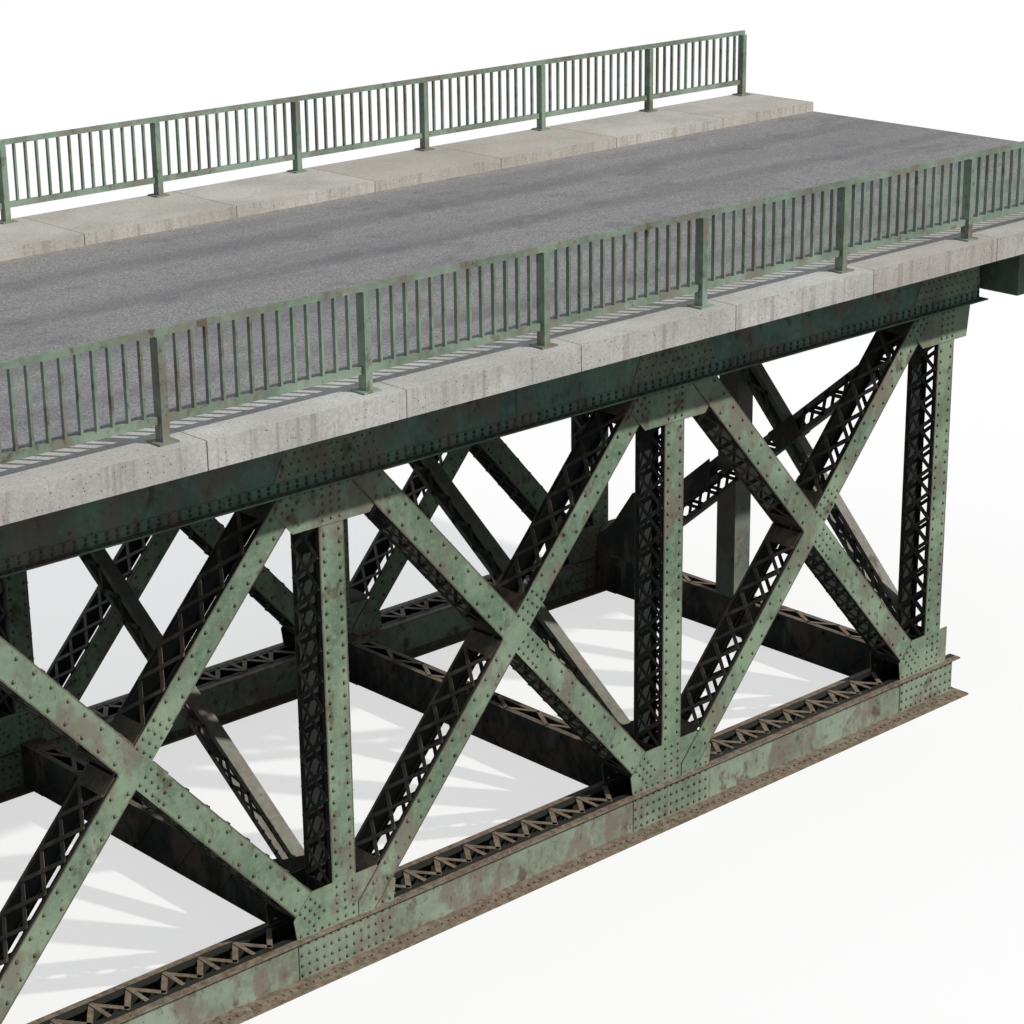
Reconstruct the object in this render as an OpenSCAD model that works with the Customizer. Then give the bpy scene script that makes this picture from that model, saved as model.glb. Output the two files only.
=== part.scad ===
// Riveted steel truss road bridge, four bays with an approach deck at each end.
// Millimetres. +X along the road, +Y towards the walkway side, +Z up, underside of the trusses at z = 0.

/* [Trusses] */
// Distance between two verticals
panel_len = 5775; // [4500:25:7000]
// Number of bays between the end verticals
bay_count = 4; // [2:2:6]
// Distance over the outer faces of the two trusses
truss_spread = 7700; // [6000:50:9000]
// Distance between the outer and inner plate planes of one truss
truss_depth = 540; // [400:10:800]
// Thickness of the plates and channels of the trusses
plate_t = 12; // [8:1:16]
// Depth of the channel flanges
channel_flange = 75; // [50:1:110]
// Thickness of the channel flanges
channel_t = 10; // [8:1:14]
// Height of the lower work point of the diagonals
low_work_z = 300; // [200:10:500]
// Height of the upper work point of the diagonals
high_work_z = 6800; // [5800:50:7800]

/* [Bottom chord] */
// Thickness of the bottom flange
low_flange_t = 30; // [15:1:50]
// Height of the underside of the chord's top flange
low_web_top = 550; // [400:10:700]
// Thickness of the chord's top flange
low_cover_t = 25; // [12:1:40]
// How far the bottom flange stands out
low_flange_out = 270; // [100:5:400]
// How far the top flange stands out
low_cover_out = 80; // [30:5:200]
// How far the flanges reach inside the chord
flange_in = 120; // [60:5:200]
// Length of the web past the end vertical
low_web_past = 530; // [400:10:800]
// Length of the flanges past the end vertical
low_flange_past = 640; // [500:10:900]

/* [Top chord] */
// Height of the underside of the top chord above the top flange of the bottom chord
clear_height = 5655; // [4800:5:6600]
// Thickness of the top chord's bottom flange
high_flange_t = 20; // [12:1:40]
// How far the top chord's bottom flange stands out
high_flange_out = 130; // [60:5:250]
// Height of the upright leg of the edge angle
edge_leg_h = 125; // [80:5:200]
// Height of the top chord
high_chord_h = 1070; // [800:10:1400]
// Length of the web past the end vertical
high_web_past = 730; // [500:10:900]
// Length of the flange past the end vertical
high_flange_past = 800; // [600:10:940]

/* [Verticals and diagonals] */
// Width of the verticals
vertical_w = 370; // [250:5:500]
// Width of the diagonals that fall to the right
falling_w = 360; // [250:5:450]
// Width of the diagonals that rise to the right
rising_w = 325; // [250:5:450]
// Room between a diagonal and a vertical
member_gap = 12; // [6:1:30]
// Length of the crossing plate along the front members
cross_front = 420; // [330:10:600]
// Length of the crossing plate along the back members
cross_back = 620; // [400:10:900]

/* [Gussets and splices] */
// Half width of the top gusset at the flange
top_gusset_root = 720; // [600:10:900]
// Half width of the top gusset at its widest
top_gusset_wide = 820; // [650:10:1000]
// Half width of the top gusset at its lower edge
top_gusset_low = 570; // [400:10:700]
// Drop of the widest corner below the flange
top_gusset_step = 220; // [120:10:300]
// Height of the top gusset
top_gusset_h = 510; // [350:10:700]
// Half width of the bottom gusset at the chord
low_gusset_root = 760; // [600:10:900]
// Half width of the bottom gusset at its widest
low_gusset_wide = 800; // [650:10:1000]
// Half width of the bottom gusset at its top edge
low_gusset_top = 505; // [400:10:700]
// Rise of the widest corner above the chord
low_gusset_step = 275; // [150:5:350]
// Height of the bottom gusset
low_gusset_h = 570; // [400:10:700]
// Reach of the end bottom gusset past the end vertical's centre
low_gusset_end = 350; // [250:10:480]
// Half width of the bottom splice plates
low_splice_half = 740; // [500:10:900]
// Half width of the top splice plates at the bottom
high_splice_half = 800; // [600:10:950]
// Half width of the top splice plates at the top
high_splice_top = 395; // [200:5:550]

/* [Cross bracing] */
// Half width of the bottom struts along the bridge
strut_half = 165; // [120:5:220]
// Height of the top of the bottom struts
strut_top = 680; // [620:10:760]
// Width of the strut flanges
strut_leg = 90; // [60:5:120]
// Thickness of the strut channels
strut_t = 10; // [8:1:14]
// Half width of the sway braces along the bridge
sway_half = 95; // [70:5:140]
// Depth of the sway braces
sway_depth = 330; // [240:10:360]
// Leg of the sway channels
sway_leg = 80; // [40:5:100]
// Thickness of the sway channels and plates
sway_t = 10; // [8:1:14]
// Height of the sway braces at the near truss
sway_foot_z = 700; // [650:10:900]
// Drop of the sway braces' far end below the top gussets
sway_top_drop = 225; // [220:5:400]
// Middle post of the end frames, along the bridge
end_post_x = 370; // [250:10:420]
// Middle post of the end frames, across the bridge
end_post_y = 400; // [250:10:500]
// Height where the long end brace meets the near truss
end_long_top_z = 5710; // [5500:10:5900]
// Slope angle of the long end brace
end_long_angle = 40; // [34:0.5:44]
// Height where the steep end brace meets the near truss
end_steep_foot_z = 1110; // [1000:10:1300]
// Slope angle of the steep end brace
end_steep_angle = 47; // [43:0.5:50]

/* [Floor] */
// Height of the floor beams
floor_beam_h = 550; // [400:10:700]
// Height of the stringers
stringer_h = 300; // [200:10:350]
// Width of the beam flanges
beam_flange = 300; // [200:10:360]
// Thickness of the beam flanges
beam_flange_t = 20; // [12:1:30]
// Spacing of the stringers
stringer_gap = 1500; // [1000:50:2000]
// Length of the deck past the end verticals
approach_len = 5970; // [3000:10:7000]
// Start of the end cross beam past the end vertical
end_beam_past = 950; // [900:10:1300]
// Width of the end cross beams and approach girders
girder_w = 400; // [250:10:600]
// Height of the end cross beams and approach girders
girder_h = 970; // [700:10:1000]
// Distance over the outer faces of the approach girders
girder_spread = 8760; // [8200:20:9600]

/* [Deck] */
// Width of the deck over its outer edges
deck_w = 10910; // [9800:10:12000]
// Thickness of the slab under the road
slab_t = 160; // [120:5:220]
// Thickness of the slab under the kerbs
ledge_t = 58; // [40:2:90]
// Inset of the slab edge from the deck edge
ledge_inset = 155; // [80:5:300]
// Thickness of the asphalt
asphalt_t = 45; // [30:1:80]
// Width of the kerb on the road side
near_kerb_w = 930; // [700:10:1300]
// Width of the walkway
far_kerb_w = 1630; // [1300:10:2000]
// Height of the kerb blocks
kerb_h = 317; // [260:1:400]
// Spacing of the kerb block joints and railing posts
post_pitch = 2650; // [2000:10:3000]
// Width of a joint between kerb blocks
joint_w = 14; // [6:1:24]
// Depth of a joint between kerb blocks
joint_d = 14; // [6:1:30]

/* [Railings] */
// Shift of the posts on the road side
near_shift = 825; // [0:25:1300]
// Shift of the posts on the walkway side
far_shift = 175; // [0:25:1300]
// Distance of the post centres from the deck edge on the road side
near_post_in = 275; // [150:5:400]
// Distance of the post centres from the deck edge on the walkway side
far_post_in = 140; // [130:5:400]
// Distance of the end posts from the deck ends
end_post_in = 295; // [150:5:500]
// Width of the posts along the bridge
post_x = 90; // [60:5:120]
// Width of the posts across the bridge
post_y = 130; // [80:5:160]
// Side of the base plates
base_w = 240; // [180:10:300]
// Thickness of the base plates
base_t = 20; // [12:1:30]
// Height of the railing above the kerb
rail_h = 1180; // [1000:10:1300]
// Height of the top rail
top_rail_h = 75; // [50:5:100]
// Height of the lower rail
low_rail_h = 85; // [50:5:100]
// Height of the underside of the lower rail above the kerb
low_rail_z = 200; // [100:10:300]
// Thickness of the rails across the bridge
rail_t = 50; // [40:2:70]
// Width of a baluster
baluster_w = 30; // [20:1:45]
// Number of balusters in a full railing field
baluster_count = 13; // [8:1:18]

/* [View] */
// Sub-part to draw

/* [Hidden] */

half_span = panel_len * bay_count / 2;
verticals_x = [for (k = [0:bay_count]) k * panel_len - half_span];
inner_x = [for (k = [1:bay_count - 1]) k * panel_len - half_span];
bays_x = [for (k = [0:bay_count - 1]) k * panel_len - half_span];
outer_y = truss_spread / 2;
inside_y = outer_y - truss_depth;
sway_y = inside_y - plate_t;

low_top = low_web_top + low_cover_t;
high_low = low_top + clear_height;
slab_low = high_low + high_chord_h;
flange_top = high_low + high_flange_t;
leg_top = flange_top + edge_leg_h;
seam = 5;
seat = 2;
high_cover_t = 20;

// the diagonals run between the work points and cross half way
diag_angle = atan((high_work_z - low_work_z) / panel_len);
diag_len = norm([panel_len, high_work_z - low_work_z]);
cross_z = (high_work_z + low_work_z) / 2;
gusset_low_clear = norm([low_gusset_wide, low_top + low_gusset_step - low_work_z]) + 60;
gusset_high_clear = norm([top_gusset_low, high_work_z - high_low + top_gusset_h]) + 30;

sway_top_z = high_low - top_gusset_h - sway_top_drop;
sway_angle = atan((sway_top_z - sway_foot_z) / (2 * sway_y));
strut_y = inside_y - low_cover_out;

deck_half = half_span + approach_len;
slab_top = slab_low + slab_t;
ledge_top = slab_low + ledge_t;
road_top = slab_top + asphalt_t;
kerb_top = ledge_top + kerb_h;
deck_edge = deck_w / 2;
near_road_y = near_kerb_w - deck_edge;
far_road_y = deck_edge - far_kerb_w;
near_post_y = near_post_in - deck_edge;
far_post_y = deck_edge - far_post_in;
rail_top = kerb_top + rail_h;
end_post_at = deck_half - end_post_in;
function post_row(shift) =
    let (first = ceil((base_w - end_post_at - shift) / post_pitch - 0.5),
        last = floor((end_post_at - shift - base_w) / post_pitch - 0.5))
    concat([-end_post_at], [for (k = [first:last]) (k + 0.5) * post_pitch + shift], [end_post_at]);
near_posts = post_row(near_shift);
far_posts = post_row(far_shift);
joint_off = 330;

// ---- helpers for bars lying in a plane ----
function unit(a) = [cos(a), sin(a)];
function side(a) = [-sin(a), cos(a)];
function hit(b, a, t, q, n) =
    b + t * side(a) + unit(a) * (((q - b - t * side(a)) * n) / (unit(a) * n));
function strip(b, a, t1, t2, q0, n0, q1, n1) =
    [hit(b, a, t1, q0, n0), hit(b, a, t2, q0, n0), hit(b, a, t2, q1, n1), hit(b, a, t1, q1, n1)];
function at(b, a, s) = b + s * unit(a);

// shape drawn across and up, swept along the bridge
module along(x0, x1) {
    translate([x0, 0, 0])
        rotate([90, 0, 90])
            linear_extrude(x1 - x0)
                children();
}

// shape drawn along and up, swept across the bridge
module across(y0, y1) {
    translate([0, y1, 0])
        rotate([90, 0, 0])
            linear_extrude(y1 - y0)
                children();
}

// a box from corner to corner
module block(lo, hi) {
    translate(lo)
        cube(hi - lo);
}

// one truss: the outer layer, and the same layer mirrored for the inside
module truss(far) {
    if (far)
        mirror([0, 1, 0])
            layers() children();
    else
        layers() children();
}

module layers() {
    translate([0, -outer_y, 0])
        children();
    translate([0, truss_depth - outer_y, 0])
        mirror([0, 1, 0])
            children();
}

module both_sides() {
    children();
    mirror([0, 1, 0])
        children();
}

module both_ends() {
    children();
    mirror([1, 0, 0])
        children();
}

// ---- chords ----
module bottom_chord_layer() {
    web_end = half_span + low_web_past;
    tip = half_span + low_flange_past;
    union() {
        block([-tip, -low_flange_out, 0], [tip, flange_in, low_flange_t]);
        block([-web_end, 0, low_flange_t], [web_end, plate_t, low_web_top]);
        block([-tip, -low_cover_out, low_web_top], [tip, flange_in, low_top]);
    }
}

module top_chord_layer() {
    web_end = half_span + high_web_past;
    tip = half_span + high_flange_past;
    cover_low = slab_low - high_cover_t;
    union() {
        block([-tip, -high_flange_out, high_low], [tip, flange_in, flange_top]);
        block([-web_end, -plate_t, flange_top], [web_end, 0, leg_top]);
        block([-web_end, 0, flange_top], [web_end, plate_t, cover_low]);
        block([-web_end, 0, cover_low], [web_end, flange_in, slab_low]);
    }
}

module near_bottom_chord() { color("darkseagreen") truss(false) bottom_chord_layer(); }
module far_bottom_chord() { color("darkseagreen") truss(true) bottom_chord_layer(); }
module near_top_chord() { color("darkseagreen") truss(false) top_chord_layer(); }
module far_top_chord() { color("darkseagreen") truss(true) top_chord_layer(); }

// plates that tie the two layers of each chord together
module chord_ties() {
    y0 = plate_t - outer_y;
    y1 = truss_depth - plate_t - outer_y;
    color("darkslategray")
        both_sides()
            for (x = verticals_x) {
                block([x, y0, low_flange_t], [x + plate_t, y1, low_web_top]);
                block([x, y0, flange_top], [x + plate_t, y1, slab_low - high_cover_t]);
            }
}

// ---- verticals ----
module verticals_layer() {
    w = vertical_w / 2;
    for (x = verticals_x)
        translate([x, 0, 0])
            union() {
                block([-w, 0, low_top], [w, plate_t, high_low]);
                block([-w, plate_t, low_top], [channel_t - w, channel_flange, high_low]);
                block([w - channel_t, plate_t, low_top], [w, channel_flange, high_low]);
            }
}

module near_verticals() { color("darkseagreen") truss(false) verticals_layer(); }
module far_verticals() { color("darkseagreen") truss(true) verticals_layer(); }

// ---- diagonals: base point, angle, width, two end cuts, two flange stations ----
module flange_pair(b, a, w, s0, s1, y0, y1) {
    e = w / 2 - seat;
    n = unit(a);
    q0 = at(b, a, s0);
    q1 = at(b, a, s1);
    across(y0 - seat, y1)
        polygon(strip(b, a, e, e - channel_t, q0, n, q1, n));
    across(y0 - seat, y1)
        polygon(strip(b, a, channel_t - e, -e, q0, n, q1, n));
}

// lower half, drawn rising: foot beside the vertical, head at a cut line
module lower_half(w, y0, head_q, head_n, s0, s1) {
    b = [0, low_work_z];
    a = diag_angle;
    e = w / 2;
    foot_x = vertical_w / 2 + member_gap;
    foot = [foot_x, low_top];
    union() {
        across(y0, y0 + plate_t)
            polygon([foot, hit(b, a, e, foot, [1, 0]), hit(b, a, e, head_q, head_n),
                hit(b, a, -e, head_q, head_n), hit(b, a, -e, foot, [0, 1])]);
        flange_pair(b, a, w, s0, s1, y0 + plate_t, y0 + channel_flange);
    }
}

// upper half, drawn rising: foot at a cut line, head under the top chord
module upper_half(w, y0, foot_q, foot_n, s0, s1) {
    b = [0, low_work_z];
    a = diag_angle;
    e = w / 2;
    head = [0, high_low];
    union() {
        across(y0, y0 + plate_t)
            polygon(strip(b, a, e, -e, foot_q, foot_n, head, [0, 1]));
        flange_pair(b, a, w, s0, s1, y0 + plate_t, y0 + channel_flange);
    }
}

front_y = -2 * plate_t;
mid_s = diag_len / 2;
cross_at = [panel_len / 2, cross_z];
front_low_cut = cross_at - (falling_w / 2 + seam) * side(-diag_angle);
front_high_cut = cross_at + (rising_w / 2 + seam) * side(-diag_angle);
back_foot_s = gusset_low_clear - low_gusset_h * 0.75;
back_head_s = (high_low - low_work_z - falling_w * cos(diag_angle) / 2) / sin(diag_angle) - seam;

module rising_layer() {
    for (x = bays_x)
        translate([x, 0, 0]) {
            lower_half(rising_w, front_y, front_low_cut, side(-diag_angle),
                gusset_low_clear, mid_s - cross_front - seam);
            upper_half(rising_w, 0, cross_at, [0, 1], mid_s + rising_w, back_head_s);
        }
}

module falling_layer() {
    for (x = bays_x)
        translate([x + panel_len, 0, 0])
            mirror([1, 0, 0]) {
                lower_half(falling_w, 0, cross_at, [0, 1], back_foot_s, mid_s - falling_w);
                upper_half(falling_w, front_y, front_high_cut, side(-diag_angle),
                    mid_s + cross_front + seam, diag_len - gusset_high_clear);
            }
}

module near_rising_diagonals() { color("seagreen") truss(false) rising_layer(); }
module far_rising_diagonals() { color("seagreen") truss(true) rising_layer(); }
module near_falling_diagonals() { color("mediumseagreen") truss(false) falling_layer(); }
module far_falling_diagonals() { color("mediumseagreen") truss(true) falling_layer(); }

// plate shaped like the crossing, long towards the back members
module crossing_layer() {
    a = diag_angle;
    r = rising_w / 2;
    f = falling_w / 2;
    c = [0, 0];
    up = unit(a);
    down = unit(-a);
    outline = [
        hit(c, a, r, cross_back * up, up), hit(c, a, -r, cross_back * up, up),
        hit(c, a, -r, f * side(-a), side(-a)),
        hit(c, -a, f, cross_back * down, down), hit(c, -a, -f, cross_back * down, down),
        hit(c, a, -r, -f * side(-a), side(-a)),
        hit(c, a, -r, -cross_front * up, up), hit(c, a, r, -cross_front * up, up),
        hit(c, a, r, -f * side(-a), side(-a)),
        hit(c, -a, -f, -cross_front * down, down), hit(c, -a, f, -cross_front * down, down),
        hit(c, a, r, f * side(-a), side(-a))];
    for (x = bays_x)
        translate([x + panel_len / 2, 0, cross_z])
            across(-plate_t, 0)
                polygon(outline);
}

module near_crossing_plates() { color("seagreen") truss(false) crossing_layer(); }
module far_crossing_plates() { color("seagreen") truss(true) crossing_layer(); }

// ---- gussets and splice plates ----
module top_gusset_layer() {
    step_z = high_low - top_gusset_step;
    low_z = high_low - top_gusset_h;
    inner = [[top_gusset_root, high_low], [top_gusset_wide, step_z], [top_gusset_low, low_z]];
    tail = [[top_gusset_root - high_flange_out * 1.5, high_low], [top_gusset_low * 0.81, low_z]];
    for (x = inner_x)
        translate([x, 0, 0])
            across(-plate_t, 0)
                polygon(concat(inner, [for (i = [2:-1:0]) [-inner[i][0], inner[i][1]]]));
    both_ends()
        translate([half_span, 0, 0])
            across(-plate_t, 0)
                polygon(concat(tail, [for (i = [2:-1:0]) [-inner[i][0], inner[i][1]]]));
}

module bottom_gusset_layer() {
    step_z = low_top + low_gusset_step;
    top_z = low_top + low_gusset_h;
    inner = [[low_gusset_root, low_top], [low_gusset_wide, step_z], [low_gusset_top, top_z]];
    tail = [[low_gusset_end, low_top], [low_gusset_end, top_z]];
    for (x = inner_x)
        translate([x, 0, 0])
            across(-plate_t, 0)
                polygon(concat(inner, [for (i = [2:-1:0]) [-inner[i][0], inner[i][1]]]));
    both_ends()
        translate([half_span, 0, 0])
            across(-plate_t, 0)
                polygon(concat(tail, [for (i = [2:-1:0]) [-inner[i][0], inner[i][1]]]));
}

module splice_layer() {
    z0 = leg_top + seam;
    z1 = slab_low - high_cover_t;
    h = high_splice_half;
    past = high_web_past;
    lean = (h - high_splice_top) / (z1 - z0);
    for (x = inner_x)
        translate([x, 0, 0]) {
            block([-low_splice_half, -plate_t, low_flange_t], [low_splice_half, 0, low_web_top]);
            across(-plate_t, 0)
                polygon([[-h, z0], [h, z0], [high_splice_top, z1], [-high_splice_top, z1]]);
        }
    both_ends()
        translate([half_span, 0, 0]) {
            block([-low_splice_half, -plate_t, low_flange_t], [low_web_past, 0, low_web_top]);
            across(-plate_t, 0)
                polygon([[-h, z0], [past, z0], [past, z0 + (h - past) / lean],
                    [high_splice_top, z1], [-high_splice_top, z1]]);
        }
}

module near_top_gussets() { color("darkseagreen") truss(false) top_gusset_layer(); }
module far_top_gussets() { color("darkseagreen") truss(true) top_gusset_layer(); }
module near_bottom_gussets() { color("darkseagreen") truss(false) bottom_gusset_layer(); }
module far_bottom_gussets() { color("darkseagreen") truss(true) bottom_gusset_layer(); }
module near_splice_plates() { color("darkseagreen") truss(false) splice_layer(); }
module far_splice_plates() { color("darkseagreen") truss(true) splice_layer(); }

// ---- cross bracing between the trusses ----
module strut_channel(x, s) {
    edge = x + s * strut_half;
    web = edge - s * strut_t;
    lip = edge - s * strut_leg;
    low = low_flange_t;
    across(-strut_y, strut_y)
        polygon([[edge, low], [edge, strut_top], [lip, strut_top], [lip, strut_top - strut_t],
            [web, strut_top - strut_t], [web, low + strut_t], [lip, low + strut_t], [lip, low]]);
}

module bottom_struts() {
    color("darkslategray")
        for (x = verticals_x)
            for (s = [-1, 1])
                strut_channel(x, s);
}

// one channel of a brace, plate facing out, between two end cuts
module sway_channel(b, a, t, q0, n0, q1, n1) {
    out = t > 0 ? 1 : -1;
    e = t - out * sway_t;
    i = t - out * sway_leg;
    union() {
        along(-sway_half, sway_half)
            polygon(strip(b, a, t, e, q0, n0, q1, n1));
        along(-sway_half, sway_t - sway_half)
            polygon(strip(b, a, e, i, q0, n0, q1, n1));
        along(sway_half - sway_t, sway_half)
            polygon(strip(b, a, e, i, q0, n0, q1, n1));
    }
}

module sway_pair(b, a, q0, n0, q1, n1) {
    sway_channel(b, a, sway_depth / 2, q0, n0, q1, n1);
    sway_channel(b, a, -sway_depth / 2, q0, n0, q1, n1);
}

// one brace in each inner frame, from the near foot to the far truss
module sway_braces() {
    b = [-sway_y, sway_foot_z];
    color("darkslategray")
        for (x = inner_x)
            translate([x, 0, 0]) {
                sway_channel(b, sway_angle, sway_depth / 2, b, [1, 0], [inside_y, 0], [1, 0]);
                sway_channel(b, sway_angle, -sway_depth / 2, [0, strut_top], [0, 1],
                    [inside_y, 0], [1, 0]);
            }
}

module plate_pair(points) {
    along(-sway_half - sway_t, -sway_half)
        polygon(points);
    along(sway_half, sway_half + sway_t)
        polygon(points);
}

// plates at both ends of the sway braces, and knee plates over the far foot of the long end braces
module sway_corner_gussets() {
    rise = 620;
    reach = 1050;
    lip = 90;
    span = 640;
    half = sway_depth / 2 / cos(sway_angle);
    slope = tan(sway_angle);
    knee_top = [[0, 250], [-180, 410], [-400, 610], [-850, 1240], [-1980, 1730], [-2600, 2250]];
    knee_low = [[-2600, 1770], [-1600, 1070], [-1300, 0]];
    knee = concat([[0, 0]], knee_top, knee_low);
    color("darkslategray") {
        for (x = inner_x)
            translate([x, 0, 0]) {
                plate_pair([[-sway_y, strut_top], [reach - sway_y, strut_top],
                    [reach - sway_y, strut_top + lip], [-sway_y, strut_top + rise]]);
                plate_pair([[sway_y, high_low], [sway_y - span / 2, high_low],
                    [sway_y - span, sway_top_z - span * slope + half],
                    [sway_y - span, sway_top_z - span * slope - half],
                    [sway_y, sway_top_z - half]]);
            }
        both_ends()
            translate([half_span, 0, 0])
                plate_pair([for (p = knee) [sway_y + p[0], strut_top + p[1]]]);
    }
}

// end frames: a long brace, a steep brace and a middle post
long_b = [-sway_y, end_long_top_z];
long_n = side(-end_long_angle);
long_cut = (sway_depth / 2) * long_n;
steep_b = [-sway_y, end_steep_foot_z];
post_c = 240;
floor_low = slab_low - stringer_h - floor_beam_h;

module end_long_braces() {
    color("darkslategray")
        both_ends()
            translate([half_span, 0, 0])
                sway_pair(long_b, -end_long_angle, long_b, [1, 0], [0, strut_top], [0, 1]);
}

module end_steep_braces() {
    color("darkslategray")
        both_ends()
            translate([half_span, 0, 0]) {
                sway_pair(steep_b, end_steep_angle, steep_b, [1, 0], long_b - long_cut, long_n);
                sway_pair(steep_b, end_steep_angle, long_b + long_cut, long_n,
                    [post_c - end_post_y / 2, 0], [1, 0]);
                sway_pair(steep_b, end_steep_angle, [post_c + end_post_y / 2, 0], [1, 0],
                    [0, floor_low], [0, 1]);
            }
}

module end_sway_posts() {
    y0 = post_c - end_post_y / 2;
    y1 = post_c + end_post_y / 2;
    color("darkslategray")
        both_ends()
            translate([half_span, 0, 0])
                along(-end_post_x / 2, end_post_x / 2) {
                    polygon([[y0, strut_top], [y1, strut_top],
                        hit([y1, 0], 90, 0, long_b - long_cut, long_n),
                        hit([y0, 0], 90, 0, long_b - long_cut, long_n)]);
                    polygon([[y0, floor_low], [y1, floor_low],
                        hit([y1, 0], 90, 0, long_b + long_cut, long_n),
                        hit([y0, 0], 90, 0, long_b + long_cut, long_n)]);
                }
}

// ---- floor ----
module beam_shape(h) {
    w = beam_flange / 2;
    t = beam_flange_t;
    s = plate_t / 2;
    polygon([[-w, 0], [w, 0], [w, t], [s, t], [s, h - t], [w, h - t],
        [w, h], [-w, h], [-w, h - t], [-s, h - t], [-s, t], [-w, t]]);
}

module floor_beams() {
    color("darkslategray")
        for (x = verticals_x)
            translate([x, 0, floor_low])
                across(-sway_y, sway_y)
                    beam_shape(floor_beam_h);
}

module stringers() {
    end_x = half_span + end_beam_past;
    color("darkslategray")
        for (i = [-1.5:1:1.5])
            translate([0, i * stringer_gap, slab_low - stringer_h])
                along(-end_x, end_x)
                    beam_shape(stringer_h);
}

module deck_brackets() {
    y0 = outer_y + plate_t;
    edge_gap = 50;
    y1 = deck_edge - ledge_inset - edge_gap;
    root = 500;
    tip = 26;
    color("darkslategray")
        both_sides()
            for (x = verticals_x)
                along(x - plate_t, x + plate_t)
                    polygon([[y0, slab_low], [y1, slab_low], [y1, slab_low - tip],
                        [y0, slab_low - root]]);
}

module end_cross_beams() {
    x0 = half_span + end_beam_past;
    y = girder_spread / 2;
    color("slategray")
        both_ends()
            block([x0, -y, slab_low - girder_h], [x0 + girder_w, y, slab_low]);
}

module approach_girders() {
    x0 = half_span + end_beam_past + girder_w;
    y = girder_spread / 2;
    color("slategray")
        both_sides()
            both_ends()
                block([x0, y - girder_w, slab_low - girder_h], [deck_half, y, slab_low]);
}

// ---- deck ----
module deck_slab() {
    y = deck_edge - ledge_inset;
    color("silver")
        along(-deck_half, deck_half)
            polygon([[-y, slab_low], [y, slab_low], [y, ledge_top], [far_road_y, ledge_top],
                [far_road_y, slab_top], [near_road_y, slab_top], [near_road_y, ledge_top],
                [-y, ledge_top]]);
}

module road_surface() {
    color("dimgray")
        block([-deck_half, near_road_y, slab_top], [deck_half, far_road_y, road_top]);
}

// kerb blocks: one long body with joint grooves on top and on both faces
module kerb(y0, y1, posts) {
    z0 = ledge_top;
    z1 = kerb_top;
    difference() {
        block([-deck_half, y0, z0], [deck_half, y1, z1]);
        for (x = posts)
            if (x + joint_off < deck_half - joint_w) {
                g0 = x + joint_off;
                g1 = g0 + joint_w;
                block([g0, y0 - 1, z0 - 1], [g1, y0 + joint_d, z1 + 1]);
                block([g0, y0 - 1, z1 - joint_d], [g1, y1 + 1, z1 + 1]);
                block([g0, y1 - joint_d, z0 - 1], [g1, y1 + 1, z1 + 1]);
            }
    }
}

module near_kerb() { color("silver") kerb(-deck_edge, near_road_y, near_posts); }
module far_walkway() { color("silver") kerb(far_road_y, deck_edge, far_posts); }

// ---- railings ----
module posts(list, y) {
    for (x = list)
        translate([x, y, 0])
            union() {
                block([-base_w / 2, -base_w / 2, kerb_top], [base_w / 2, base_w / 2, kerb_top + base_t]);
                block([-post_x / 2, -post_y / 2, kerb_top + base_t],
                    [post_x / 2, post_y / 2, rail_top - top_rail_h]);
            }
}

// rails and balusters between two posts, cut out of one sheet
module railing_holes(x0, x1) {
    gap_z0 = kerb_top + low_rail_z + low_rail_h;
    gap_z1 = rail_top - top_rail_h;
    pitch = (post_pitch - post_x + baluster_w) / (baluster_count + 1);
    n = max(1, round((x1 - x0 + baluster_w) / pitch));
    step = (x1 - x0 + baluster_w) / n;
    for (i = [0:n - 1])
        translate([x0 + i * step, gap_z0])
            square([step - baluster_w, gap_z1 - gap_z0]);
}

module railing(list, y) {
    z0 = kerb_top + low_rail_z;
    last = len(list) - 1;
    half = post_x / 2;
    across(y - rail_t / 2, y + rail_t / 2)
        difference() {
            translate([list[0] - half, z0])
                square([list[last] - list[0] + post_x, rail_top - z0]);
            for (x = list)
                translate([x - half, z0 - 1])
                    square([post_x, rail_top - top_rail_h - z0 + 1]);
            for (i = [0:last - 1])
                railing_holes(list[i] + half, list[i + 1] - half);
        }
}

module near_railing_posts() { color("seagreen") posts(near_posts, near_post_y); }
module far_railing_posts() { color("seagreen") posts(far_posts, far_post_y); }
module near_railing() { color("seagreen") railing(near_posts, near_post_y); }
module far_railing() { color("seagreen") railing(far_posts, far_post_y); }

near_bottom_chord();
far_bottom_chord();
near_top_chord();
far_top_chord();
chord_ties();
near_verticals();
far_verticals();
near_falling_diagonals();
far_falling_diagonals();
near_rising_diagonals();
far_rising_diagonals();
near_top_gussets();
far_top_gussets();
near_bottom_gussets();
far_bottom_gussets();
near_splice_plates();
far_splice_plates();
near_crossing_plates();
far_crossing_plates();
bottom_struts();
sway_braces();
sway_corner_gussets();
end_long_braces();
end_steep_braces();
end_sway_posts();
floor_beams();
stringers();
deck_brackets();
end_cross_beams();
approach_girders();
deck_slab();
road_surface();
near_kerb();
far_walkway();
near_railing_posts();
far_railing_posts();
near_railing();
far_railing();
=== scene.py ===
import math
import bmesh
import bpy
import numpy as np
from mathutils import Matrix, Vector


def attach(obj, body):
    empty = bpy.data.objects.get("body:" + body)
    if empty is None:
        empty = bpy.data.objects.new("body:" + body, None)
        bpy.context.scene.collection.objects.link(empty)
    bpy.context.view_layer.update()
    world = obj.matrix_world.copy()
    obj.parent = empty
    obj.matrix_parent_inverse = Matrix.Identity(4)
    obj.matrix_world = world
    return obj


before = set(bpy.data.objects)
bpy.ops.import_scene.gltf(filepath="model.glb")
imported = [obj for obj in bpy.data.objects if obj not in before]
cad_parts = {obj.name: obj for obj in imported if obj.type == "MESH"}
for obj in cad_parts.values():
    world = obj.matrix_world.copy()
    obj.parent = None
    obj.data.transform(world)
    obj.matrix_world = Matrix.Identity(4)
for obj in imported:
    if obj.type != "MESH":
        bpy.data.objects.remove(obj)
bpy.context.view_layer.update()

# ---------------------------------------------------------------- sizes, metres
PANEL = 5.775
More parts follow.
